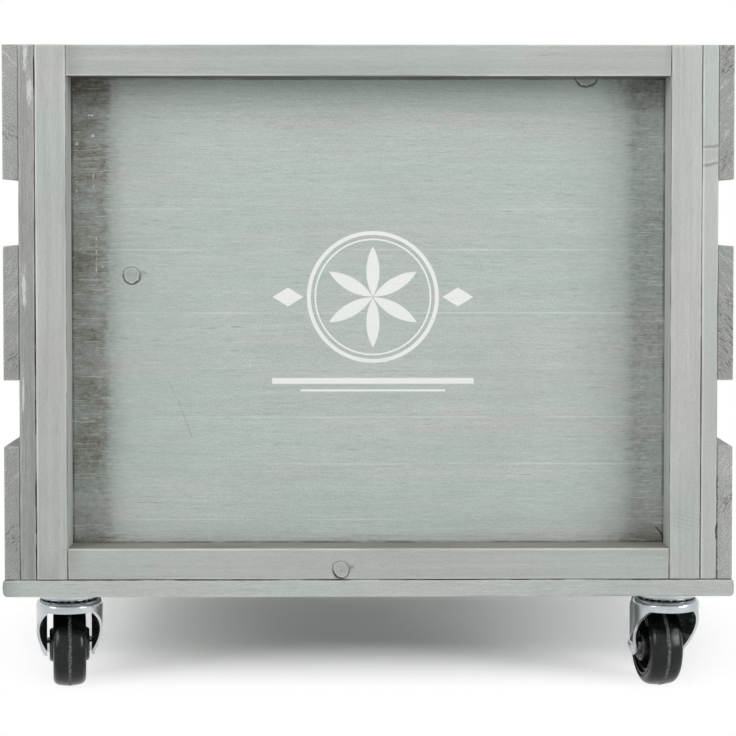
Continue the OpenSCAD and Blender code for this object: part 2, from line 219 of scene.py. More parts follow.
class Value:
    """A number socket of a node tree, so that maths on it reads as an expression."""

    def __init__(self, nodes, socket):
        self.nodes, self.socket = nodes, socket

    def math(self, name, *others, clamp=False):
        made = self.nodes.node("ShaderNodeMath", {"operation": name, "use_clamp": clamp},
                               dict(enumerate((self, *others))))
        return Value(self.nodes, made.outputs[0])

    __add__ = __radd__ = operation("ADD")
    __sub__ = operation("SUBTRACT")
    __mul__ = __rmul__ = operation("MULTIPLY")
    __pow__ = operation("POWER")
    __neg__ = operation("MULTIPLY", -1.0)
    __abs__ = operation("ABSOLUTE")
    clamped = operation("ADD", 0.0, clamp=True)
    most = operation("MAXIMUM")
    sine = operation("SINE")

    def __rsub__(self, other):
        return -self + other

    def swing(self, amount):
        """A noise's departure from its middle, times an amount."""
        return (self - 0.5) * amount

    def span(self, other):
        """The distance that two square distances make."""
        return (self * self + other * other) ** 0.5

    def rise(self, low, high):
        """0 up to low and 1 from high on, with an easy slope between; low may be above high."""
        made = self.nodes.node("ShaderNodeMapRange", {"interpolation_type": "SMOOTHSTEP"},
                               {"Value": self, "From Min": low, "From Max": high})
        return Value(self.nodes, made.outputs[0])

    def within(self, low, high, out, into=None):
        """1 from low to high, with slopes that reach so far out of the two and into them."""
        into = into or out
        return self.rise(low - out, low + into) * self.rise(high + out, high - into)


class Nodes:
    """A node tree, with one method that adds any node to it."""

    def __init__(self, tree):
        self.tree = tree

    def node(self, kind, settings=None, sockets=None):
        made = self.tree.nodes.new(kind)
        for key, setting in (settings or {}).items():
            setattr(made, key, setting)
        for key, value in (sockets or {}).items():
            self.feed(made.inputs[key], value)
        return made

    def feed(self, socket, value):
        if isinstance(value, Value):
            value = value.socket
        if isinstance(value, bpy.types.NodeSocket):
            self.tree.links.new(value, socket)
        else:
            socket.default_value = value

    def vector(self, x, y, z):
        return self.node("ShaderNodeCombineXYZ", sockets={0: x, 1: y, 2: z}).outputs[0]


class Finish(Nodes):
    """A material, and the nodes that make it."""

    def __init__(self, name):
        self.material = bpy.data.materials.new(name)
        self.material.use_nodes = True
        super().__init__(self.material.node_tree)
        self.shader = self.tree.nodes["Principled BSDF"]
        self.object_coords = self.node("ShaderNodeTexCoord").outputs["Object"]
        split = self.node("ShaderNodeSeparateXYZ", sockets={"Vector": self.object_coords})
        self.x, self.y, self.z = (Value(self, split.outputs[i]) for i in range(3))

    def noise(self, vector=None, scale=1.0, detail=2.0, roughness=0.5):
        made = self.node("ShaderNodeTexNoise", sockets={
            "Vector": vector or self.object_coords, "Scale": scale, "Detail": detail, "Roughness": roughness})
        return Value(self, made.outputs["Fac"])

    def drawn_out(self, x_waves, y_waves, z_waves, shift=0.0):
        """Places for a noise that has its own waves a metre along each axis."""
        return self.vector(self.x * x_waves, self.y * y_waves, self.z * z_waves + shift)

    def blend(self, amount, first, second):
        """first where amount is 0 and second where it is 1."""
        mix = self.node("ShaderNodeMix", {"data_type": "RGBA"}, {"Factor": amount, 6: first, 7: second})
        return mix.outputs[2]

    def shaded(self, colour, amount):
        """colour made lighter or darker by the factor amount."""
        scaled = self.node("ShaderNodeVectorMath", {"operation": "SCALE"}, {0: colour, "Scale": amount})
        return scaled.outputs[0]

    def surface(self, tone, roughness, metal=0.0, relief=None, depth=0.0, strength=0.0):
        """Gives the material its colour, roughness and metal, and bumps as deep as depth."""
        for name, value in (("Base Color", tone), ("Roughness", roughness), ("Metallic", metal)):
            self.feed(self.shader.inputs[name], value)
        if relief:
            bump = self.node("ShaderNodeBump", sockets={
                "Height": relief, "Distance": depth, "Strength": strength})
            self.feed(self.shader.inputs["Normal"], bump.outputs["Normal"])
        return self.material


def srgb(red, green, blue):
    """The linear colour of a 0 to 255 screen colour."""
    channels = [c / 255 for c in (red, green, blue)]
    return (*(c / 12.92 if c <= 0.04045 else ((c + 0.055) / 1.055) ** 2.4 for c in channels), 1.0)


WASH_GREEN = srgb(180, 192, 186)
WASH_GREY = srgb(189, 190, 187)
RUBBED_PALE = srgb(214, 215, 210)
FIBRE_DARK = srgb(118, 119, 112)
GRIME_AND_SHADE = srgb(84, 79, 71)
DULL_BROWN = srgb(128, 122, 115)
SEAM_AND_SHADE_BLACK = srgb(38, 36, 32)
END_TONE = srgb(152, 154, 149)
WOOD_ROUGHNESS = 0.78
WOOD_GLOSS = 0.25
RELIEF_DEPTH = 0.00018
RELIEF_STRENGTH = 0.30
GRAIN_WANDER = 0.0035
# Waves a metre of the wood's patterns, down the grain and over it
FINE, FIBRE, STREAK, STROKES, PORES = (190, 2300), (42, 1050), (7, 230), (5.5, 330), (95, 1500)
DRIFT, CLOUD, MOTTLE = (6, 14), (18, 40), (9, 75)
GRIT_WAVES = 1250
KNOT_SWAY_WAVES = 70
KNOT_EDGE_WAVES = 420
SEAM_WAVES = 38
# How much of the patterns shows in the wash
FINE_SHARE, FIBRE_SHARE, STREAK_SHARE = 0.34, 0.22, 0.17
GRIT_SHARE, CLOUD_SHARE, PORE_SHARE = 0.30, 0.12, 0.55
OUTER_Y = cad_bounds[1].y
SEAM_HALF = 0.00028


class Wash(Finish):
    """A sawn board under a thin stain, brushed on and rubbed back, to which marks are added."""

    def __init__(self, kind, node, along, seed, wear=EDGE_WEAR, end_ease=EDGE_EASE, green=0.5, level=1.0,
                 grain=1.0, grit=1.0, knots=(), knot_depth=1.0, brushed=0.0):
        self.board = sawn_board(f"{node}_{kind}", node, along, seed, wear, end_ease)
        super().__init__(f"wash_{node}")
        self.cad_node = node
        self.coords = (self.x, self.y, self.z)
        self.low, self.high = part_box(node)
        middle = (self.low + self.high) / 2
        wide, thin = sorted((axis for axis in range(3) if axis != along),
                            key=lambda axis: self.low[axis] - self.high[axis])
        length = self.coords[along] + seed * 0.731
        width = self.coords[wide] - middle[wide]
        depth = self.coords[thin] - middle[thin]

        # The grain wanders a little along the board, and bends round each knot.
        drift = self.noise(self.vector(length * DRIFT[0], width * DRIFT[1], seed * 1.9))
        bent = width + drift.swing(GRAIN_WANDER)
        knot_marks = []
        for at_length, at_width, radius, across_axis in knots:
            sway = self.noise(scale=KNOT_SWAY_WAVES).swing(radius * 1.5)
            ragged = self.noise(scale=KNOT_EDGE_WAVES)
            along_knot = (self.coords[along] - at_length + sway) * 0.94
            across_knot = self.coords[across_axis] - at_width
            reach = along_knot.span(across_knot) + ragged.swing(radius * 0.22)
            pull = reach.rise(radius * 3.0, radius)
            if across_axis == wide:
                bent = bent - across_knot * pull * 0.8
            else:
                depth = depth - across_knot * pull * 0.8
            ring = reach.rise(radius * 0.80, radius * 0.92) * reach.rise(radius * 1.16, radius * 0.98)
            # The dark ring is painted heavier on one side, as painted shadow.
            shadow = across_knot.rise(radius, -radius) * 0.55 + 0.35
            heart = reach.rise(radius * 0.95, radius * 0.7)
            pale = reach.rise(radius * 0.66, radius * 0.78) * reach.rise(radius * 0.92, radius * 0.84)
            tail = (abs(across_knot - radius * 0.25) * (1 / (radius * 0.34))).rise(1.0, 0.2)
            tail = tail * along_knot.rise(radius * 0.8, radius * 1.1)
            tail = tail * along_knot.rise(radius * 2.0, radius * 1.3)
            dark = (ring * shadow * (0.45 + ragged)).most(tail * ragged.rise(0.35, 0.6) * 0.4)
            knot_marks.append((dark * knot_depth, heart * (0.55 * ragged - 0.08), pale * shadow * 0.5))

        offset = seed * 3.17

        def fibres(down, over, shift=offset, **settings):
            """Noise drawn out along the grain."""
            return self.noise(self.vector(length * down, bent * over + shift, depth * over), **settings)

        fine = fibres(*FINE)
        self.fibre = fibres(*FIBRE, roughness=0.6)
        self.streak = fibres(*STREAK, detail=3.0, roughness=0.6)
        clouded = self.vector(length * CLOUD[0], width * CLOUD[1] + offset, depth * CLOUD[1])
        self.cloud = self.noise(clouded, detail=3.0)
        self.grit = self.noise(scale=GRIT_WAVES)
        strokes = fibres(*STROKES, -offset, detail=1.0)
        mottled = self.vector(length * MOTTLE[0], width * MOTTLE[1] + offset, seed * 2.3)
        mottle = self.noise(mottled, detail=3.0, roughness=0.6)
        shares = ((fine, FINE_SHARE * grain), (self.fibre, FIBRE_SHARE * grain), (self.streak, STREAK_SHARE),
                  (self.grit, GRIT_SHARE * grit), (self.cloud, CLOUD_SHARE), (strokes, brushed))
        self.tone = self.shaded(self.blend((mottle * 2.4 - 1.2 + green).clamped(), WASH_GREY, WASH_GREEN),
                                sum((pattern.swing(share) for pattern, share in shares), level))

        # Short dark pores, more of them where the wash is thin.
        pores = fibres(*PORES, -offset).rise(0.63, 0.76)
        self.stain(pores * self.cloud.rise(0.40, 0.62) * (PORE_SHARE * grain), FIBRE_DARK)

        # Distances from the board's faces give its ends and its worn arrises.
        half = (self.high - self.low) / 2
        sides = [half[axis] - abs(self.coords[axis] - middle[axis]) for axis in range(3)]
        near = sides[0] + sides[1] + sides[2] - sides[0].most(sides[1]).most(sides[2])
        arris = (near + self.streak.swing(0.0016)).rise(0.0015, 0.0003)
        self.end = sides[along].rise(0.0005, 0.0001)
        self.relief = fine * 0.4 + self.fibre * 0.5 + self.streak * 0.4
        self.stain(arris * self.cloud.rise(0.35, 0.60) * 0.50, RUBBED_PALE)
        for dark, heart, pale in knot_marks:
            self.stain(heart * knot_depth, DULL_BROWN)
            self.stain(pale * knot_depth, RUBBED_PALE)
            self.stain(dark, SEAM_AND_SHADE_BLACK)

    def stain(self, amount, colour):
        self.tone = self.blend(amount.clamped(), self.tone, colour)

    def beside(self, axis, place, reach):
        """1 up to a place on an axis, falling to 0 over a reach, which is negative for the other way."""
        return (self.coords[axis] - place).rise(reach, 0.0)

    def oval(self, x, z, half_x, half_z):
        """The distance from an upright oval's middle, as a share of its size."""
        return ((self.x - x) * (1 / half_x)).span((self.z - z) * (1 / half_z))

    def outside(self):
        """1 on the crate's outermost front and back faces."""
        return abs(self.y).rise(OUTER_Y - 0.0020, OUTER_Y - 0.0010)

    def seam(self, axis, place, strength=0.9, half_width=SEAM_HALF, where=None):
        """The dark line of a joint, fainter where the boards touch."""
        wander = self.streak.swing(half_width * 1.3)
        line = abs(self.coords[axis] - place + wander).rise(half_width * 1.7, half_width * 0.9)
        broken = self.noise(scale=SEAM_WAVES, detail=4.0, roughness=0.65).rise(0.34, 0.60)
        shown = self.outside() if where is None else where
        self.stain(line * shown * (0.25 + 0.75 * broken) * strength, SEAM_AND_SHADE_BLACK)

    def pale_arris(self, axis, place, strength):
        """The rubbed edge of a board, beside the joint at its low side, on the outer faces."""
        into = self.coords[axis] - place + self.fibre.swing(0.0008)
        line = into.rise(0.0003, 0.0006) * into.rise(0.0015, 0.0008)
        self.stain(line * self.outside() * self.cloud.rise(0.30, 0.55) * strength, RUBBED_PALE)

    def dry(self, slot):
        """Puts the finished wash on its board, and the board in its CAD node's place."""
        self.shader.inputs["Specular IOR Level"].default_value = WOOD_GLOSS
        roughness = WOOD_ROUGHNESS - 0.10 * self.fibre
        stained = self.surface(self.tone, roughness, 0.0, self.relief, RELIEF_DEPTH, RELIEF_STRENGTH)
        self.board.data.materials.append(stained)
        fitted(self.board, self.cad_node, "crate")


for number in range(1, 6):
    wash = Wash("plank", f"base_board_{number}", 0, number, BASE_WEAR, BASE_END_EASE, green=0.40, level=0.93,
                grit=1.5)
    wash.seam(2, wash.high.z, 0.85, 0.00036)
    wash.stain(wash.beside(0, wash.low.x, 0.012) * (0.25 + 0.5 * wash.cloud) * 0.7, FIBRE_DARK)
    wash.stain(wash.end * 0.45, END_TONE)
    wash.dry("base_wood")


# Corner battens
# Upright battens that the slats' ends are nailed to. The left ones are painted darker, as painted shade, the
# front one of them with streaks of filler, and the right front one has a knot near its top.
FILLER = srgb(218, 220, 215)
DULL_GREY = srgb(128, 128, 123)
FILLER_WAVES = (1100, 200, 210)
ROUGH_WEAR = 0.0010
# Middle along x, middle along z, half width and half height of each streak of filler
FILLER_STREAKS = [(-0.1757, 0.3372, 0.0014, 0.0064), (-0.1733, 0.3200, 0.0018, 0.0080),
                  (-0.1767, 0.2180, 0.0012, 0.0110), (-0.1774, 0.1650, 0.0006, 0.0120)]
# Knots: their place along the board, their place across it, their radius, and the axis across
POST_KNOTS = {"post_front_right": [(0.2869, -0.1772, 0.0048, 1)]}
# A chip out of the right front batten's edge: middle along x and z, half width and half height
EDGE_CHIP = (0.1792, 0.0926, 0.0007, 0.0042)


def filler(wash, streak):
    """A ragged upright streak of white filler."""
    ragged = wash.noise(wash.drawn_out(*FILLER_WAVES), detail=4.0, roughness=0.65)
    spread = wash.oval(*streak) + ragged.swing(2.8) + wash.grit.swing(1.2)
    wash.stain(spread.rise(1.25, 0.35) * wash.beside(1, wash.low.y + 0.001, 0.004) * 0.66, FILLER)


for number, corner in enumerate(("front_left", "front_right", "back_left", "back_right")):
    node = f"post_{corner}"
    left = corner.endswith("left")
    # The left battens' lower level is painted shade.
    green, level, grain, darker_low = (0.06, 0.64, 1.15, 0.8) if left else (0.25, 0.955, 0.45, 0.25)
    wash = Wash("batten", node, 2, 11 + number, ROUGH_WEAR, green=green, level=level, grain=grain, grit=1.1,
                knots=POST_KNOTS.get(node, []), knot_depth=0.45)
    # Darker towards the bottom, the left battens more than the right.
    wash.stain(wash.beside(2, 0.150, 0.16) * (wash.streak.rise(0.42, 0.62) * 0.5 + 0.15) * darker_low, DULL_GREY)
    if corner == "front_left":
        for streak in FILLER_STREAKS:
            filler(wash, streak)
    wash.seam(0, wash.low.x, 0.30 if left else 0.50)
    if corner == "front_right":
        wash.pale_arris(0, wash.low.x, 0.55)
        chip = wash.oval(*EDGE_CHIP) + wash.grit.swing(1.5)
        wash.stain(chip.rise(1.1, 0.7) * 0.9, SEAM_AND_SHADE_BLACK)
    wash.seam(0, wash.high.x, 1.0 if left else 0.30, 0.0004 if left else SEAM_HALF)
    wash.seam(2, wash.low.z, 0.8)
    wash.dry("post_wood")


# Side slats
# Three planks a side, nailed across the battens with hand-wide gaps. Their sawn ends
# show at the front, with the saw's slanting marks and dark splits in the end grain.
SPLIT_DARK = srgb(66, 64, 58)
STROKE_PALE = srgb(200, 203, 197)
# For each end: how light its wash is, how strong its growth rings are, the slant of its
# marks in degrees, and the heights of its splits and of its pale strokes
END_MARKS = {
    "slat_left_top": (0.88, 0.30, -45, [(0.298, 0.304)], (0.322, 0.342)),
    "slat_left_middle": (0.76, 0.45, 50, [(0.176, 0.188)], (0.205, 0.235)),
    "slat_left_bottom": (0.74, 0.30, 42, [(0.079, 0.095)], (0.120, 0.133)),
    "slat_right_top": (0.79, 0.55, 50, [(0.279, 0.293), (0.331, 0.345)], (0.296, 0.322)),
    "slat_right_middle": (0.74, 0.50, -50, [(0.176, 0.212)], (0.212, 0.238)),
    "slat_right_bottom": (0.97, 0.28, 58, [(0.098, 0.113)], (0.122, 0.136)),
}
# One knot a slat: its place along y, its height above the slat's lower edge, and its radius
KNOT_PLACES = [(0.112, 0.021, 0.0031), (-0.058, 0.047, 0.0058), (0.019, 0.015, 0.0040),
               (-0.094, 0.052, 0.0036), (0.071, 0.024, 0.0064), (-0.021, 0.044, 0.0029)]
ROWS = ("bottom", "middle", "top")


def sawn_end(wash, strength, slant, splits, strokes, toward_post):
    """Slanting growth rings, saw fuzz, splits and pale strokes on a slat's ends, with painted shade towards
    the batten.
    """
    turn = math.radians(slant)
    across = wash.z * math.cos(turn) - wash.x * math.sin(turn) + wash.cloud.swing(0.006)
    down = wash.z * math.sin(turn) + wash.x * math.cos(turn)

    def slanting(down_scale, across_scale, detail=3.0, roughness=0.6, shift=0.0):
        """Noise drawn out along the marks' slant."""
        place = wash.vector(down * down_scale, across * across_scale, wash.y * 3 + shift)
        return wash.noise(place, detail=detail, roughness=roughness)

    rings = slanting(200, 950, detail=4.0, roughness=0.7)
    wide_rings = slanting(60, 330)
    fuzz = wash.noise(scale=1650)
    ringed = rings.swing(1.6) * strength + wide_rings.swing(1.2) * strength + wash.cloud.swing(0.6)
    wash.stain(wash.end * (ringed + fuzz.swing(2.4) + 0.42).clamped(), DULL_GREY)
    wash.stain(wash.end * rings.rise(0.46, 0.34) * fuzz.rise(0.58, 0.42) * (0.5 * strength), STROKE_PALE)
    height = wash.z + wash.cloud.swing(0.03)
    dashes = slanting(330, 1500).rise(0.53, 0.66)
    for low, high in splits:
        wash.stain(wash.end * height.within(low, high, 0.004, 0.003) * dashes * 0.80, SPLIT_DARK)
    light = wash.z.within(*strokes, 0.003) * slanting(90, 640, roughness=0.5, shift=2.0).rise(0.52, 0.66)
    wash.stain(wash.end * light * fuzz.rise(0.62, 0.45) * 0.75, STROKE_PALE)
    # Painted shade: the end darkens towards its batten, where slat and batten meet.
    middle = (wash.low.x + wash.high.x) / 2 * toward_post
    wash.stain(wash.end * (wash.x * toward_post).rise(middle, middle + 0.006) * 0.30, DULL_GREY)


for number, (side, row) in enumerate((side, row) for side in ("left", "right") for row in ROWS):
    node = f"slat_{side}_{row}"
    level, *marks = END_MARKS[node]
    along_y, up, radius = KNOT_PLACES[number]
    wash = Wash("plank", node, 1, 21 + number, ROUGH_WEAR, green=0.25, level=level, grain=0.9, grit=1.2,
                knots=[(along_y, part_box(node)[0].z + up, radius, 2)], knot_depth=0.75)
    sawn_end(wash, *marks, toward_post=1 if side == "left" else -1)
    beside_post = wash.high.x if side == "left" else wash.low.x
    wash.seam(0, beside_post, 0.25)
    if node == "slat_right_bottom":
        dashes = wash.noise(wash.drawn_out(0, 0, 330), detail=3.0).rise(0.44, 0.54)
        gap = (wash.x - beside_post + wash.grit.swing(0.0012)).rise(0.0007, 0.0002)
        wash.stain(gap * dashes * wash.z.rise(0.126, 0.120) * wash.end * 0.9, SEAM_AND_SHADE_BLACK)
    if row == "bottom":
        wash.seam(2, wash.low.z, 0.85)
    wash.dry("slat_wood")


# Wall frames
# Square battens round each panel: two stiles the full height, and two rails between
# them, butted and pinned from inside, with a dark line at each joint.
FRAME_WIDTH = 0.016
# For each piece of a frame: the axis of its grain, and how light its wash is
FRAME_PIECES = {"stile_left": (2, 0.865), "stile_right": (2, 0.925),
                "rail_top": (0, 0.84), "rail_bottom": (0, 0.855)}
FRAME_KNOTS = {"front_rail_bottom": [(-0.0150, 0.0732, 0.0046, 2)]}
DUST_AND_SHADE_BROWN = srgb(122, 114, 107)
ARRIS_PINK = srgb(222, 214, 206)
RIPPLE_PITCH = 0.0021


def stile_marks(wash, node):
    """Seams at the sides, dirt at the foot, and the planer's ripples low on the right front one."""
    left = node.endswith("left")
    lower_part = wash.z.rise(0.27, 0.20) * 0.5 + 0.45
    wash.seam(0, wash.low.x, 0.95 if left else 0.6)
    wash.seam(0, wash.high.x, 0.6 if left else lower_part)
    if node == "front_stile_left":
        wash.pale_arris(0, wash.low.x, 0.70)
    if node == "front_stile_right":
        rows = wash.z + wash.x * 0.25 + wash.cloud.swing(0.005)
        ripple = (rows * (2 * math.pi / RIPPLE_PITCH)).sine().rise(0.1, 0.9)
        held = wash.z.rise(0.092, 0.096) * wash.z.rise(0.106, 0.100)
        wash.stain(ripple * held * 0.20, DULL_GREY)
    wash.seam(2, wash.low.z, 0.8)
    wash.stain(wash.beside(2, wash.low.z, 0.07) * wash.cloud.rise(0.40, 0.60) * 0.30, DULL_GREY)


def rail_marks(wash, bottom):
    """Seams and dull ends, painted shade on the reveal towards the panel, and its worn pink arris."""
    for end in (wash.low.x, wash.high.x):
        wash.seam(0, end, 0.9)
    for end, reach in ((wash.low.x, 0.013), (wash.high.x, -0.005)):
        wash.stain(wash.beside(0, end, reach) * wash.cloud.rise(0.34, 0.62) * 0.42, DULL_GREY)
    reveal = abs(wash.z - (wash.high.z if bottom else wash.low.z))
    into = abs(wash.y).rise(OUTER_Y - 0.0010, OUTER_Y - 0.0030)
    # Painted shade on the reveal: near black under the top rail, and on the bottom rail's top face a brown
    # that is dust and painted shade together.
    shade = reveal.rise(0.0005, 0.0001) * into
    if bottom:
        wash.seam(2, wash.low.z, 0.8)
        wash.stain(shade * (wash.cloud * 0.8 + 0.25), DUST_AND_SHADE_BROWN)
    else:
        wash.stain(shade * (wash.cloud * 0.6 + 0.40), SEAM_AND_SHADE_BLACK)
    worn = (reveal + wash.fibre.swing(0.0006)).rise(0.0009, 0.0003)
    wash.stain(worn * (1 - into) * wash.cloud.rise(0.30, 0.55) * 0.42, ARRIS_PINK)


for number, (wall, piece) in enumerate((wall, piece) for wall in ("front", "back") for piece in FRAME_PIECES):
    node = f"{wall}_{piece}"
    along, level = FRAME_PIECES[piece]
    upright = along == 2
    wash = Wash("batten", node, along, 31 + number, green=0.28 if upright else 0.45, level=level, grain=0.6,
                grit=1.15, knots=FRAME_KNOTS.get(node, []), brushed=0.34 if upright else 0.16)
    if upright:
        stile_marks(wash, node)
    else:
        rail_marks(wash, piece == "rail_bottom")
    inner_face = wash.high.y if wall == "front" else wash.low.y
    wash.seam(1, inner_face, 0.8, 0.0006, where=1.0)
    wash.dry("frame_wood")


# Wall panels
# Boards glued edge to edge and sanded, behind the frames. The wash is rubbed thin in the middle and left dark
# against the frame, where the frame's painted shadow darkens it further, and the front panel has a stencilled
# rosette.
PRINT_WHITE = srgb(234, 236, 234)
RUST_BROWN = srgb(98, 62, 54)
SMEAR_AND_SHADE = srgb(105, 102, 94)
ROSETTE_CENTRE = (0.0023, 0.2130)
ROSETTE_RADIUS = 0.0335
PETAL_SHARE = 0.80
THIN_RING_SHARE = 0.90
RING_WIDTH = 0.0022
PETALS = 6
# Each bar under the rosette: its drop below the centre, its half length and half height
BARS = [(0.0440, 0.0530, 0.0016), (0.0490, 0.0530 * 0.72, 0.0006)]
LOZENGE_OUT = 0.0445
# Heights of the pale lines where glued boards meet, with how far they show
PANEL_LINES = [(0.2590, 0.35), (0.2376, 0.60), (0.2046, 0.50), (0.1500, 0.40), (0.1253, 0.45), (0.0962, 0.40)]
# Where the dark bands of stain and painted shadow beside the stiles end, along x
BAND_LEFT_EDGE = -0.1366
BAND_RIGHT_EDGE = 0.1370
# Upright scuffs: x, lowest and highest z
SCUFFS = [(-0.1436, 0.268, 0.278), (-0.1524, 0.266, 0.274), (-0.1422, 0.226, 0.249)]
# White chips: x, z, half width and half height
CHIPS = [(-0.1447, 0.3079, 0.0019, 0.0007), (-0.1436, 0.2972, 0.0012, 0.0008),
         (-0.1520, 0.2930, 0.0010, 0.0009), (-0.1390, 0.2290, 0.0004, 0.0006),
         (0.1420, 0.2905, 0.0008, 0.0005)]
RUST_SPOT = (-0.1365, 0.0866, 0.0085, 0.0011)
PANEL_KNOTS = {"front": [(-0.1242, 0.2243, 0.0046, 2), (0.1134, 0.3277, 0.0049, 2)],
               "back": [(0.052, 0.150, 0.0052, 2)]}
# A shallow split, and a dark crack in the lower right corner: points down their lengths
SPLIT = [(-0.1056, 0.1706), (-0.0990, 0.1570), (-0.0965, 0.1500), (-0.0926, 0.1396)]
CRACK = [(0.1512, 0.0918), (0.1536, 0.0892), (0.1558, 0.0846)]


def stained_and_shaded_border(wash, seed):
    """The dark border against the frame: stain that the brush left, with the frame's painted shadow over it
    and painted shade deepest in the corners, and the marks in it.
    """
    outer_face = max(abs(wash.low.y), abs(wash.high.y))
    outside = abs(wash.y).rise(outer_face - 0.0010, outer_face - 0.0004)
    head, foot = wash.high.z - FRAME_WIDTH, wash.low.z + FRAME_WIDTH
    inside_left, inside_right = wash.low.x + FRAME_WIDTH, wash.high.x - FRAME_WIDTH
    ragged = wash.fibre.swing(0.003) + wash.streak.swing(0.003)
    ragged_x, ragged_z = wash.x + ragged * 1.6 + wash.cloud.swing(0.008), wash.z + ragged * 2
    # The bands beside the stiles, under the top rail and at the foot are painted shadow of the frame on top
    # of the stain.
    left = ragged_x.rise(BAND_LEFT_EDGE + 0.0028, BAND_LEFT_EDGE - 0.0022)
    left_fade = wash.beside(0, BAND_LEFT_EDGE, 0.011) * 0.22 + wash.beside(0, BAND_LEFT_EDGE, 0.060) * 0.13
    right = (wash.x + ragged * 4).rise(BAND_RIGHT_EDGE - 0.0050, BAND_RIGHT_EDGE + 0.0040)
    right_fade = wash.beside(0, BAND_RIGHT_EDGE, -0.045) * 0.16
    head_fade = ragged_z.rise(head - 0.006, head - 0.001) * 0.06
    foot_fade = ragged_z.rise(foot + 0.007, foot) * 0.21
    patches = wash.noise(scale=34, detail=3.0, roughness=0.6)
    blotch = 0.72 + wash.cloud.swing(1.0) + wash.streak.swing(0.8) + patches.swing(1.3)
    dark = (left * 0.40 + left_fade + right * 0.23 + right_fade + head_fade + foot_fade) * blotch * outside
    fibres = wash.noise(wash.drawn_out(420, 9, 1500, seed), detail=3.0, roughness=0.6).swing(1.7)
    blots = wash.noise(scale=330, detail=4.0, roughness=0.65)
    speckle = fibres + wash.grit.swing(1.6) + blots.swing(1.3)
    speckle = speckle * (dark * 2.0).clamped() * (1 - left * 0.34)
    wash.stain((dark * 1.22 + speckle * 0.75).clamped(), SMEAR_AND_SHADE)
    # Painted shade, deepest in the top corners under the rail.
    corners = wash.beside(0, BAND_LEFT_EDGE, 0.004).most(wash.beside(0, BAND_RIGHT_EDGE, -0.020) * 0.6)
    corner = corners * ragged_z.rise(head - 0.021, head - 0.006)
    wash.stain((corner * (0.52 + blots.swing(1.6))).clamped() * outside, GRIME_AND_SHADE)
    # Painted shade in the lower right corner.
    low_right = wash.x.rise(0.112, 0.150) * wash.z.rise(0.118, 0.088)
    wash.stain(low_right * (0.15 + 0.45 * wash.cloud.rise(0.35, 0.65)) * 0.8 * outside, GRIME_AND_SHADE)
    hairs = wash.noise(wash.drawn_out(75, 9, 1250, seed * 2)).rise(0.60, 0.70)
    specks = wash.noise(scale=1150).rise(0.66, 0.74)
    worn = (left + right + head_fade * 2).clamped() * outside
    wash.stain(worn * (hairs * 0.36).most(specks * 0.55), RUBBED_PALE)
    for axis, place, strength, half_width in ((0, inside_left, 0.55, 0.0007), (0, inside_right, 0.55, 0.0007),
                                              (2, head, 0.55, 0.0005), (2, foot, 0.60, 0.0006)):
        wash.seam(axis, place, strength, half_width, where=outside)


def marked_front(wash):
    """Scuffs, chips, a rust stain, a split and a crack on the front panel."""
    for x, low, high in SCUFFS:
        near = abs(wash.x - x + wash.grit.swing(0.0012)).rise(0.0006, 0.0001)
        broken = wash.noise(scale=420, detail=4.0).rise(0.46, 0.58)
        wash.stain(near * wash.z.within(low, high, 0.001) * broken * 0.6, FILLER)
    for chip in CHIPS:
        wash.stain((wash.oval(*chip) + wash.grit.swing(2.5)).rise(1.05, 0.55) * 0.75, FILLER)
    rust = wash.oval(*RUST_SPOT) + wash.streak.swing(3.2) + wash.grit.swing(1.5)
    wash.stain(rust.rise(1.3, 0.2) * 0.60, RUST_BROWN)
    for path, half_width, strength, colour in ((SPLIT, 0.0006, 0.35, FIBRE_DARK),
                                               (CRACK, 0.0009, 0.90, SEAM_AND_SHADE_BLACK)):
        for (x0, z0), (x1, z1) in zip(path, path[1:]):
            share = (z0 - wash.z) * (1 / (z0 - z1))
            off = abs(wash.x - (x0 + share * (x1 - x0)) + wash.grit.swing(0.0009))
            line = off.rise(half_width, 0.0001) * share.within(0.0, 1.0, 0.02)
            wash.stain(line * wash.cloud.rise(0.30, 0.5) * strength, colour)


def rosette(wash):
    """A six-petalled rosette drawn with compasses, in a double ring, over two ruled bars."""
    x = wash.x - ROSETTE_CENTRE[0]
    z = wash.z - ROSETTE_CENTRE[1]
    inner = ROSETTE_RADIUS * PETAL_SHARE
    reach = x.span(z)
    mark = abs(reach - ROSETTE_RADIUS).rise(RING_WIDTH / 2 + 0.0001, RING_WIDTH / 2 - 0.0002)
    mark = mark.most(abs(reach - ROSETTE_RADIUS * THIN_RING_SHARE).rise(0.0006, 0.0003))
    for k in range(PETALS):
        angle = math.pi / 2 + 2 * math.pi * k / PETALS
        arcs = [(x - inner * math.cos(angle + turn)).span(z - inner * math.sin(angle + turn))
                for turn in (-math.pi / 3, math.pi / 3)]
        mark = mark.most(arcs[0].most(arcs[1]).rise(inner + 0.00005, inner - 0.00035))
    for drop, half_length, half_height in BARS:
        bar = abs(z + drop).rise(half_height + 0.0001, half_height - 0.0002)
        mark = mark.most(bar * abs(x).rise(half_length, half_length - 0.0004))
    for offset in (-LOZENGE_OUT, LOZENGE_OUT):
        mark = mark.most((abs(x - offset) * 0.62 + abs(z)).rise(0.0052, 0.0048))
    worn = 0.94 - 0.20 * wash.fibre.rise(0.60, 0.75) - 0.12 * wash.cloud.rise(0.6, 0.8)
    wash.stain(mark * wash.beside(1, wash.low.y + 0.001, 0.002) * worn, PRINT_WHITE)


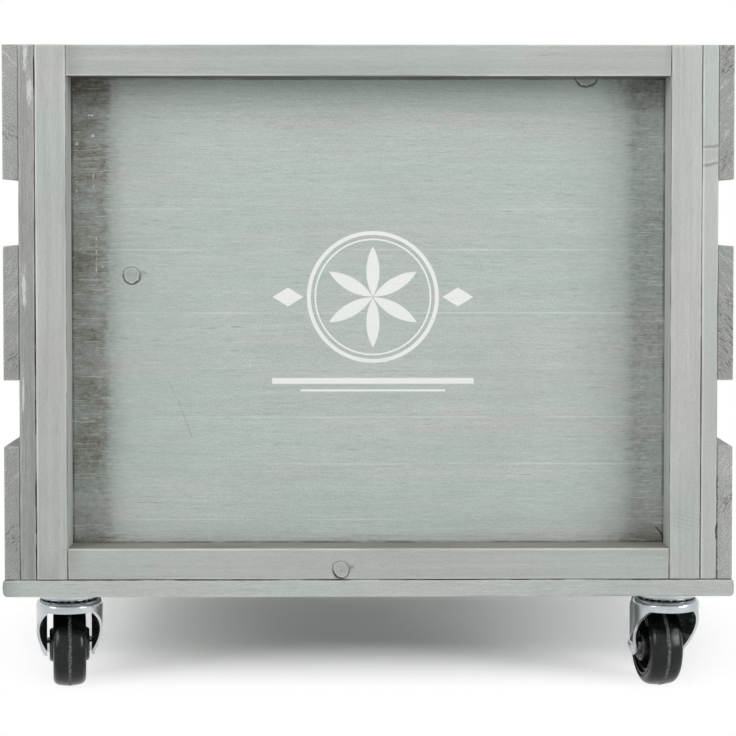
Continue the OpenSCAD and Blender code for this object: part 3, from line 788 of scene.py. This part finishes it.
for number, wall in enumerate(("front", "back")):
    seed = 41 + number
    wash = Wash("board", f"{wall}_panel", 0, seed, green=0.70, level=0.945, grit=1.8, knots=PANEL_KNOTS[wall])
    for height, strength in PANEL_LINES:
        near = abs(wash.z - height + wash.streak.swing(0.0012)).rise(0.0006, 0.0001)
        wash.stain(near * wash.cloud.rise(0.35, 0.60) * strength, RUBBED_PALE)
    stained_and_shaded_border(wash, seed)
    if wall == "front":
        marked_front(wash)
        rosette(wash)
    wash.dry("panel_wood")


# Nails and pins
# Round wire nails with flat chequered heads, set flush: through the slats into the
# battens and the frame, up through the base, and from inside through the panels.
HEAD_RADIUS = 0.0016
NAIL_SIZES = {"Head radius": HEAD_RADIUS, "Head thickness": 0.0008, "Shank radius": 0.0008,
              "Point length": 0.002, "Chamfer": 0.00025}
SLAT_NAIL, CORNER_NAIL, LONG_NAIL = 0.014, 0.025, 0.020
HEAD_SIDES = 20
SHANK_SIDES = 10
POINT_SHARE = 0.2
NAIL_SHARE = 0.3
RAIL_NAILS = 4
STILE_PINS = 4
CHEQUER_PITCH = 0.00055
SIDES = (-1, 1)


class Repeat(Nodes):
    """A geometry tree that sets copies of one small thing on the points of a mesh."""

    def __init__(self, name, sizes):
        super().__init__(bpy.data.node_groups.new(name, "GeometryNodeTree"))
        self.sizes = sizes
        face = self.tree.interface
        face.new_socket("Points", in_out="INPUT", socket_type="NodeSocketGeometry")
        self.inputs = {}
        for size in sizes:
            kind = "NodeSocketInt" if size == "Seed" else "NodeSocketFloat"
            self.inputs[size] = face.new_socket(size, in_out="INPUT", socket_type=kind).identifier
        face.new_socket("Pieces", in_out="OUTPUT", socket_type="NodeSocketGeometry")
        self.entry = self.tree.nodes.new("NodeGroupInput")
        self.exit = self.tree.nodes.new("NodeGroupOutput")

    def size(self, name):
        return Value(self, self.entry.outputs[name])

    def moved(self, part, z):
        return self.node("GeometryNodeTransform", sockets={
            "Geometry": part, "Translation": self.vector(0.0, 0.0, z)}).outputs[0]

    def joined(self, *parts):
        join = self.node("GeometryNodeJoinGeometry")
        for part in parts:
            self.tree.links.new(part, join.inputs[0])
        return join.outputs[0]

    def tube(self, sides, radius, length, top):
        """A round bar down from a height."""
        bar = self.node("GeometryNodeMeshCylinder", sockets={
            "Vertices": sides, "Radius": radius, "Depth": length}).outputs["Mesh"]
        return self.moved(bar, top - length * 0.5)

    def taper(self, sides, top_radius, foot_radius, length, top):
        """A cut-off cone down from a height."""
        cone = self.node("GeometryNodeMeshCone", sockets={
            "Vertices": sides, "Radius Top": top_radius, "Radius Bottom": foot_radius, "Depth": length})
        return self.moved(cone.outputs["Mesh"], top - length)

    def set_out(self, part, material, turn=None):
        """Copies of part on the points, each with its top along the point's outward direction."""
        outward = self.node("GeometryNodeInputNamedAttribute", {"data_type": "FLOAT_VECTOR"},
                            {"Name": "outward"})
        aim = self.node("FunctionNodeAlignRotationToVector", {"axis": "Z"}, {"Vector": outward.outputs[0]})
        copies = self.node("GeometryNodeInstanceOnPoints", sockets={
            "Points": self.entry.outputs["Points"], "Instance": part, "Rotation": aim.outputs[0]})
        if turn is not None:
            copies = self.node("GeometryNodeRotateInstances", sockets={
                "Instances": copies.outputs[0], "Rotation": self.vector(0.0, 0.0, turn)})
        real = self.node("GeometryNodeRealizeInstances", sockets={0: copies.outputs[0]})
        coated = self.node("GeometryNodeSetMaterial", sockets={
            "Geometry": real.outputs[0], "Material": material})
        self.tree.links.new(coated.outputs[0], self.exit.inputs[0])

    def make(self, name, places, node, slot):
        """Turns the tree into one plain mesh; places are pairs of a place and its outward direction."""
        data = bpy.data.meshes.new(name)
        data.from_pydata([place for place, _ in places], [], [])
        outward = data.attributes.new("outward", "FLOAT_VECTOR", "POINT")
        for item, (_, way) in zip(outward.data, places):
            item.vector = way
        carrier = placed(f"{name}_points", data)
        modifier = carrier.modifiers.new("repeat", "NODES")
        modifier.node_group = self.tree
        for size, value in self.sizes.items():
            modifier[self.inputs[size]] = value
        evaluated = carrier.evaluated_get(bpy.context.evaluated_depsgraph_get())
        mesh = bpy.data.meshes.new_from_object(evaluated)
        mesh.name = name
        carrier.modifiers.remove(modifier)
        bpy.data.objects.remove(carrier)
        return fitted(placed(name, mesh), node, "crate")


def nail_steel():
    """Dull bright wire, with the head's chequered face and a little brown in its hollows."""
    finish = Finish("nail_steel")
    a, b, c = ((coord * (2 * math.pi / CHEQUER_PITCH)).sine() for coord in (finish.x, finish.y, finish.z))
    spots = finish.noise(scale=900, detail=3.0)
    tone = finish.blend(spots.rise(0.52, 0.68), srgb(176, 178, 180), srgb(118, 104, 92))
    metal = 1.0 - spots.rise(0.55, 0.70) * 0.6
    return finish.surface(tone, spots * 0.4 + 0.22, metal, a * b + b * c + c * a, 0.00004, 0.5)


NAIL_FINISH = nail_steel()


def nails(name, node, places, length):
    """One nail at each place: a chamfered head, a shank and a short point."""
    tree = Repeat(f"{name}_tree", {**NAIL_SIZES, "Length": length})
    head_radius, head_thickness, shank_radius, point_length, chamfer, length = map(tree.size, tree.sizes)
    crown = tree.taper(HEAD_SIDES, head_radius - chamfer, head_radius, chamfer, 0.0)
    disc = tree.tube(HEAD_SIDES, head_radius, head_thickness - chamfer, -chamfer)
    shank = tree.tube(SHANK_SIDES, shank_radius, length - point_length - head_thickness, -head_thickness)
    point = tree.taper(SHANK_SIDES, shank_radius, shank_radius * POINT_SHARE, point_length,
                       point_length - length)
    tree.set_out(tree.joined(crown, disc, shank, point), NAIL_FINISH)
    tree.make(name, places, node, "nail_steel")


def wall_nail_places(node):
    """Two nails in each slat's end, on the line that the node's box gives."""
    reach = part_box(node)[1]
    line_y = reach.y - HEAD_RADIUS
    places = []
    for side, word in zip(SIDES, ("left", "right")):
        for row in ROWS:
            low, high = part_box(f"slat_{word}_{row}")
            middle, spread = (low.z + high.z) / 2, (high.z - low.z) * NAIL_SHARE
            places += [((side * reach.x, sy * line_y, middle + up * spread), (side, 0, 0))
                       for sy in SIDES for up in SIDES]
    return places


nails("slat_nail_group", "slat_nails", wall_nail_places("slat_nails"), SLAT_NAIL)
nails("corner_nail_group", "corner_nails", wall_nail_places("corner_nails"), CORNER_NAIL)

rail_low, rail_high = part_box("front_rail_bottom")
rail_middle_y = (rail_low.y + rail_high.y) / 2
rail_pitch = (rail_high.x - rail_low.x) / RAIL_NAILS
base_low, base_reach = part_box("base_nails")
down = (0, 0, -1)
base_places = []
for number in range(1, 6):
    low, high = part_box(f"base_board_{number}")
    middle, spread = (low.y + high.y) / 2, (high.y - low.y) * NAIL_SHARE
    base_places += [((sx * (base_reach.x - HEAD_RADIUS), middle + sy * spread, base_low.z), down)
                    for sx in SIDES for sy in SIDES]
base_places += [(((k - (RAIL_NAILS - 1) / 2) * rail_pitch, -sy * rail_middle_y, base_low.z), down)
                for sy in SIDES for k in range(RAIL_NAILS)]
nails("base_nail_group", "base_nails", base_places, LONG_NAIL)

panel_inner_y = -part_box("front_panel")[1].y
stile_low, stile_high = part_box("front_stile_right")
top_rail_low, top_rail_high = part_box("front_rail_top")
stile_x = (stile_low.x + stile_high.x) / 2
rail_heights = ((rail_low.z + rail_high.z) / 2, (top_rail_low.z + top_rail_high.z) / 2)
pin_pitch = (stile_high.z - stile_low.z) / STILE_PINS
pin_places = []
for sy in SIDES:
    inward = (0, -sy, 0)
    pin_places += [((sx * stile_x, sy * panel_inner_y, stile_low.z + (k + 0.5) * pin_pitch), inward)
                   for sx in SIDES for k in range(STILE_PINS)]
    pin_places += [((k * rail_pitch, sy * panel_inner_y, z), inward)
                   for z in rail_heights for k in (-1, 0, 1)]
nails("panel_pin_group", "panel_pins", pin_places, LONG_NAIL)


# Casters
# A pressed, zinc-plated swivel caster at each corner: a plate and a fork on a ring of
# balls, held by a kingpin, and a rubber tyre on a moulded hub that turns on a bush.
ZINC = srgb(204, 209, 211)
ZINC_DULL = srgb(174, 180, 184)
GREASE_AND_SHADE = srgb(24, 22, 20)
ZINC_METAL = 0.90
WELD = 0.000002
FLAT_BELOW = 0.6
SMOOTH_BELOW = 32
ROUND_ABOVE = 40
FORK_ROUNDING = 0.00025
SWIVELS, SPINS = ({joint["name"].removeprefix(kind): joint for joint in frame["joints"]
                   if joint["name"].startswith(kind)} for kind in ("swivel_", "spin_"))
swivel_x = max(joint["pos_m"][0] for joint in SWIVELS.values())
swivel_y = max(joint["pos_m"][1] for joint in SWIVELS.values())
swivel_z = SWIVELS["front_left"]["pos_m"][2]
SMUDGE_WAVES, ZINC_GRAIN_WAVES, SCRATCH_WAVES = 75, 1500, (2600, 2600, 130)
RACE_REACH = 0.0153
RACE_HALF_GAP = 0.0012


def smooth_copy(node, body, finish, rounding=0.0):
    """A piece with a CAD node's shape, smooth between its edges, which may be rounded a little."""
    shape = bmesh.new()
    shape.from_mesh(frame["nodes"][node].data)
    bmesh.ops.remove_doubles(shape, verts=shape.verts, dist=WELD)
    bmesh.ops.dissolve_limit(shape, angle_limit=math.radians(FLAT_BELOW), verts=shape.verts,
                             edges=shape.edges)
    for face in shape.faces:
        face.smooth = True
        face.material_index = 0
    for edge in shape.edges:
        edge.smooth = edge.calc_face_angle(0.0) < math.radians(SMOOTH_BELOW)
    piece = hardened(f"{node}_part", shape)
    piece.data.materials.append(finish)
    if rounding:
        bevel = piece.modifiers.new("rounding", "BEVEL")
        bevel.width = rounding
        bevel.segments = 2
        bevel.limit_method = "ANGLE"
        bevel.angle_limit = math.radians(ROUND_ABOVE)
        bevel.harden_normals = True
    fitted(piece, node, body)


def zinc_plate(greased_and_shaded):
    """Bright zinc, dulled in clouds by handling, and dark in the ball race with grease and painted shade."""
    finish = Finish("zinc_greased" if greased_and_shaded else "zinc_plate")
    smudge = finish.noise(scale=SMUDGE_WAVES).rise(0.40, 0.70)
    grain = finish.noise(scale=ZINC_GRAIN_WAVES, detail=3.0)
    scratch = finish.noise(finish.drawn_out(*SCRATCH_WAVES))
    tone = finish.blend((smudge * 0.7 + grain.swing(0.35)).clamped(), ZINC, ZINC_DULL)
    rough = smudge * 0.10 + scratch.swing(0.06) + 0.11
    metal = ZINC_METAL
    if greased_and_shaded:
        # Grease and painted shade: the zinc is painted dark in the gap of the ball race.
        reach = (abs(finish.x) - swivel_x).span(abs(finish.y) - swivel_y)
        level = abs(finish.z - swivel_z).rise(RACE_HALF_GAP, RACE_HALF_GAP * 0.55)
        greased_and_shaded_race = reach.rise(RACE_REACH + 0.0004, RACE_REACH - 0.0002) * level
        tone = finish.blend(greased_and_shaded_race, tone, GREASE_AND_SHADE)
        metal = ZINC_METAL - greased_and_shaded_race * ZINC_METAL
        rough = rough + greased_and_shaded_race * 0.12
    return finish.surface(tone, rough, metal, grain, 0.00002, 0.20)


def black_nylon():
    """Moulded nylon, satin, with a trace of dust in its hollows."""
    finish = Finish("black_nylon")
    cloud = finish.noise(scale=260, detail=3.0)
    grain = finish.noise(scale=3200)
    tone = finish.blend(cloud.rise(0.45, 0.75) * 0.6, srgb(24, 25, 26), srgb(58, 60, 59))
    return finish.surface(tone, cloud * 0.20 + 0.16, 0.0, cloud * 0.5 + grain * 0.3, 0.00006, 0.4)


def bright_ball():
    """Polished steel, with a broken film of grease."""
    finish = Finish("bright_ball")
    film = finish.noise(scale=700, detail=3.0)
    greasy = film.rise(0.40, 0.52)
    tone = finish.blend(greasy, srgb(112, 112, 108), srgb(26, 25, 23))
    return finish.surface(tone, film * 0.3 + 0.06, 1.0 - greasy * 0.9)


# Rubber tyre: a slightly crowned tread with the mould's rough flash round its middle,
# round shoulders, and a groove in each side wall.
TREAD_SINK = 0.00022
TREAD_CROWN = 0.00050
FLASH_HALF_WIDTH = 0.00036
ROUND_STEPS = 224
SHOULDER_RADIUS = 0.0034
BORE_RADIUS = 0.0156
GROOVE_RADIUS = 0.0007
GROOVE_IN = 0.0016
SHOULDER_STEPS = 6
GROOVE_STEPS = 6
RUBBER_GLOSS = 0.29


def tyre_profile(half_width, outer_radius):
    """Points (along the axle, radius) of one side, from the tread's middle to the bore."""
    tread = outer_radius - TREAD_SINK
    flat = half_width - SHOULDER_RADIUS
    points = [(0.0, outer_radius), (FLASH_HALF_WIDTH * 0.5, outer_radius - TREAD_SINK * 0.3),
              (FLASH_HALF_WIDTH, tread - 0.00008), (FLASH_HALF_WIDTH * 2.2, tread)]
    points += [(flat * share, tread - TREAD_CROWN * share * share) for share in (0.3, 0.5, 0.75, 1.0)]
    slope = math.atan(2 * TREAD_CROWN / flat)
    turns = [slope + (math.pi / 2 - slope) * i / SHOULDER_STEPS for i in range(1, SHOULDER_STEPS + 1)]
    reach_out = (half_width - flat) / (1 - math.sin(slope))
    points += [(half_width - reach_out * (1 - math.sin(turn)),
                tread - TREAD_CROWN - SHOULDER_RADIUS * (math.cos(slope) - math.cos(turn))) for turn in turns]
    groove = BORE_RADIUS + GROOVE_IN
    turns = [math.pi * i / GROOVE_STEPS for i in range(GROOVE_STEPS + 1)]
    points += [(half_width - GROOVE_RADIUS * math.sin(turn), groove + GROOVE_RADIUS * math.cos(turn))
               for turn in turns]
    return points + [(half_width, BORE_RADIUS)]


def black_rubber():
    """Soft black rubber with dust in its pores, and grit caught on the mould's flash."""
    finish = Finish("black_rubber")
    across = Value(finish, finish.node("ShaderNodeAttribute", {"attribute_name": "across"}).outputs["Fac"])
    cloud = finish.noise(scale=160, detail=3.0, roughness=0.6)
    grit = finish.noise(scale=1900, detail=3.0, roughness=0.65)
    wander = finish.noise(scale=230)
    flash = abs(across + wander.swing(0.0010)).rise(0.0013, 0.0003)
    tone = finish.blend(cloud.rise(0.35, 0.65), srgb(7, 9, 10), srgb(23, 26, 27))
    tone = finish.blend((flash * (grit.rise(0.53, 0.60) * 0.80 + 0.07)).clamped(), tone, srgb(180, 183, 182))
    tone = finish.blend(grit.rise(0.60, 0.72) * cloud.rise(0.42, 0.60) * 0.35, tone, srgb(120, 122, 120))
    finish.shader.inputs["Specular IOR Level"].default_value = RUBBER_GLOSS
    relief = cloud * 0.5 + grit * (0.25 + flash)
    return finish.surface(tone, cloud * 0.16 + flash * 0.3 + 0.10, 0.0, relief, 0.00006, 0.5)


ZINC_FINISH = zinc_plate(False)
GREASED_AND_SHADED_FINISH = zinc_plate(True)
NYLON_FINISH = black_nylon()
RUBBER_FINISH = black_rubber()


def tyre_piece(corner):
    """The tyre's profile turned about its wheel's axis, with the flash a little torn."""
    node = f"caster_{corner}_tyre"
    axis = Vector(SPINS[corner]["axis"]).normalized()
    centre = Vector(SPINS[corner]["pos_m"])
    outer_radius = centre.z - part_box(node)[0].z
    half_width = max(abs((vertex.co - centre).dot(axis)) for vertex in frame["nodes"][node].data.vertices)
    up = Vector((0, 0, 1))
    ahead = up.cross(axis)
    half = tyre_profile(half_width, outer_radius)
    profile = [(-a, r) for a, r in reversed(half)] + half[1:]
    shape = bmesh.new()
    across = shape.verts.layers.float.new("across")
    loops = []
    for step in range(ROUND_STEPS):
        angle = 2 * math.pi * step / ROUND_STEPS
        spoke = up * math.cos(angle) + ahead * math.sin(angle)
        loop = []
        for a, r in profile:
            on_flash = abs(a) < FLASH_HALF_WIDTH * 0.9
            rough = noise.noise(Vector((angle * 40, a * 4000, 1.7))) if on_flash else 0.0
            vertex = shape.verts.new(centre + axis * a + spoke * (r - TREAD_SINK * 0.45 * abs(rough)))
            vertex[across] = a
            loop.append(vertex)
        loops.append(loop)
    skin(shape, loops + loops[:1], flat=len(profile) - 1)
    bmesh.ops.recalc_face_normals(shape, faces=shape.faces)
    piece = hardened(f"{node}_part", shape)
    piece.data.materials.append(RUBBER_FINISH)
    fitted(piece, node, f"wheel_{corner}")


for corner in SWIVELS:
    smooth_copy(f"caster_{corner}_plate", "crate", GREASED_AND_SHADED_FINISH)
    smooth_copy(f"caster_{corner}_kingpin", "crate", GREASED_AND_SHADED_FINISH)
    smooth_copy(f"caster_{corner}_fork", f"fork_{corner}", GREASED_AND_SHADED_FINISH, FORK_ROUNDING)
    smooth_copy(f"caster_{corner}_axle", f"fork_{corner}", ZINC_FINISH)
    smooth_copy(f"caster_{corner}_bush", f"fork_{corner}", ZINC_FINISH)
    smooth_copy(f"caster_{corner}_hub", f"wheel_{corner}", NYLON_FINISH)
    tyre_piece(corner)

# The balls between plate and fork, each ring a circle of points about its swivel.
BALLS = 24
BALL_RADIUS = 0.0015
ring_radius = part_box("swivel_balls")[1].x - swivel_x - BALL_RADIUS
ball_tree = Repeat("swivel_ball_tree", {"Ball radius": BALL_RADIUS})
ball = ball_tree.node("GeometryNodeMeshIcoSphere", sockets={
    "Radius": ball_tree.size("Ball radius"), "Subdivisions": 3})
round_ball = ball_tree.node("GeometryNodeSetShadeSmooth", sockets={"Geometry": ball.outputs[0]})
ball_tree.set_out(round_ball.outputs[0], bright_ball())
ball_places = []
for joint in SWIVELS.values():
    x, y, z = joint["pos_m"]
    turns = [2 * math.pi * k / BALLS for k in range(BALLS)]
    ball_places += [((x + ring_radius * math.cos(turn), y + ring_radius * math.sin(turn), z), (0, 0, 1))
                    for turn in turns]
ball_tree.make("swivel_ball_rings", ball_places, "swivel_balls", "ball_steel")

# Cross-head screws, up through the plates, each stopped at its own angle.
SCREW_SIZES = {"Head radius": 0.0040, "Head height": 0.0024, "Dome radius": 0.0056,
               "Cross length": 0.0045, "Cross width": 0.0010, "Cross depth": 0.0014,
               "Shank radius": 0.00195, "Shank length": 0.0072, "Seed": 7}
screw_tree = Repeat("caster_screw_tree", SCREW_SIZES)
(head_radius, head_height, dome_radius, cross_length, cross_width, cross_depth, shank_radius, shank_length,
 seed) = map(screw_tree.size, SCREW_SIZES)
dome = screw_tree.moved(screw_tree.node("GeometryNodeMeshUVSphere", sockets={
    "Segments": 48, "Rings": 32, "Radius": dome_radius}).outputs[0], -dome_radius)
head = screw_tree.node("GeometryNodeMeshBoolean", {"operation": "INTERSECT"}, {
    "Mesh 2": screw_tree.tube(32, head_radius, head_height, 0.0)})
screw_tree.tree.links.new(dome, head.inputs["Mesh 2"])
slotted = screw_tree.node("GeometryNodeMeshBoolean", {"operation": "DIFFERENCE"}, {"Mesh 1": head.outputs[0]})
for length, width in ((cross_length, cross_width), (cross_width, cross_length)):
    cut = screw_tree.node("GeometryNodeMeshCube", sockets={
        "Size": screw_tree.vector(length, width, cross_depth * 2.0)})
    screw_tree.tree.links.new(cut.outputs[0], slotted.inputs["Mesh 2"])
shank = screw_tree.tube(16, shank_radius, shank_length, -head_height)
angle = screw_tree.node("FunctionNodeRandomValue", {"data_type": "FLOAT"}, {"Seed": seed})
turned = Value(screw_tree, angle.outputs[1]) * (math.pi / 2)
screw_tree.set_out(screw_tree.joined(slotted.outputs[0], shank), ZINC_FINISH, turn=turned)
screw_low, screw_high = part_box("caster_screws")
spacing = screw_high.x - SCREW_SIZES["Head radius"] - swivel_x
screw_places = [((sx * swivel_x + dx * spacing, sy * swivel_y + dy * spacing, screw_low.z), down)
                for sx in SIDES for sy in SIDES for dx in SIDES for dy in SIDES]
screw_tree.make("caster_screw_set", screw_places, "caster_screws", "zinc_steel")


# Stage and light
# A white floor and white surroundings, two broad soft lights at each side in front, one
# high in front and one above the back.
FLOOR_SIZE = 12.0
FLOOR_TONE = 0.80
FLOOR_SEEN = 1.89
FLOOR_MIRRORED = 1.5
# The patch under the crate that keeps its full shade, and how far round it the white begins
SHADE_MIDDLE_Y = 0.06
SHADE_HALF_X = 0.13
SHADE_HALF_Y = 0.07
SHADE_FADE = 0.15
AMBIENT = 0.10
WHITE = (1, 1, 1, 1)


def seen_and_mirrored(nodes):
    """Whether a ray comes from the camera, and whether off or through something shiny."""
    ray = nodes.node("ShaderNodeLightPath").outputs
    shiny = Value(nodes, ray["Is Glossy Ray"]).most(ray["Is Transmission Ray"])
    return Value(nodes, ray["Is Camera Ray"]), shiny


floor_data = bpy.data.meshes.new("floor")
reach = FLOOR_SIZE / 2
floor_data.from_pydata([(-reach, -reach, 0), (reach, -reach, 0), (reach, reach, 0), (-reach, reach, 0)], [],
                       [(0, 1, 2, 3)])
floor = placed("floor", floor_data)
finish = Finish("floor_white")
seen, mirrored = seen_and_mirrored(finish)
white = seen * (FLOOR_SEEN - FLOOR_TONE) + mirrored * (FLOOR_MIRRORED - FLOOR_TONE) + FLOOR_TONE
diffuse = finish.node("ShaderNodeBsdfDiffuse", sockets={"Color": finish.vector(white, white, white)})
glow = finish.node("ShaderNodeEmission")
# Away from the patch the floor glows white to camera and glossy rays, painted light that washes out its
# shadow there.
off_x = (abs(finish.x) - SHADE_HALF_X).most(0.0)
off_y = (abs(finish.y - SHADE_MIDDLE_Y) - SHADE_HALF_Y).most(0.0)
far = off_x.span(off_y).rise(0.0, SHADE_FADE)
surface = finish.node("ShaderNodeMixShader", sockets={
    0: far * seen.most(mirrored), 1: diffuse.outputs[0], 2: glow.outputs[0]})
finish.feed(finish.tree.nodes["Material Output"].inputs["Surface"], surface.outputs[0])
floor_data.materials.append(finish.material)

world = bpy.data.worlds.new("surroundings")
world.use_nodes = True
world.cycles.sampling_method = "NONE"
bpy.context.scene.world = world
sky = Nodes(world.node_tree)
seen, mirrored = seen_and_mirrored(sky)
lit, shown = (sky.node("ShaderNodeBackground", sockets={"Color": WHITE, "Strength": strength}).outputs[0]
              for strength in (AMBIENT, 1.0))
choice = sky.node("ShaderNodeMixShader", sockets={0: seen.most(mirrored), 1: lit, 2: shown})
sky.feed(sky.tree.nodes["World Output"].inputs["Surface"], choice.outputs[0])

# Each lamp's place, side and power in watts
LAMPS = {
    "key_left": ((-1.5, -1.7, 1.4), 1.3, 21.0),
    "key_right": ((1.9, -1.3, 1.2), 1.3, 13.0),
    "low_left": ((-1.8, -1.5, 0.6), 0.9, 7.5),
    "low_right": ((1.8, -1.5, 0.6), 0.9, 15.0),
    "high_front": ((0.0, -1.6, 2.1), 1.2, 11.0),
    "top_back": ((0.0, 1.3, 1.8), 1.5, 12.5),
}
LAMPS_AIM = Vector((0, 0, 0.17))
for name, (place, size, power) in LAMPS.items():
    lamp = bpy.data.lights.new(name, "AREA")
    lamp.shape = "SQUARE"
    lamp.size = size
    lamp.energy = power
    holder = placed(name, lamp)
    holder.location = place
    holder.rotation_euler = (LAMPS_AIM - Vector(place)).to_track_quat("-Z", "Y").to_euler()
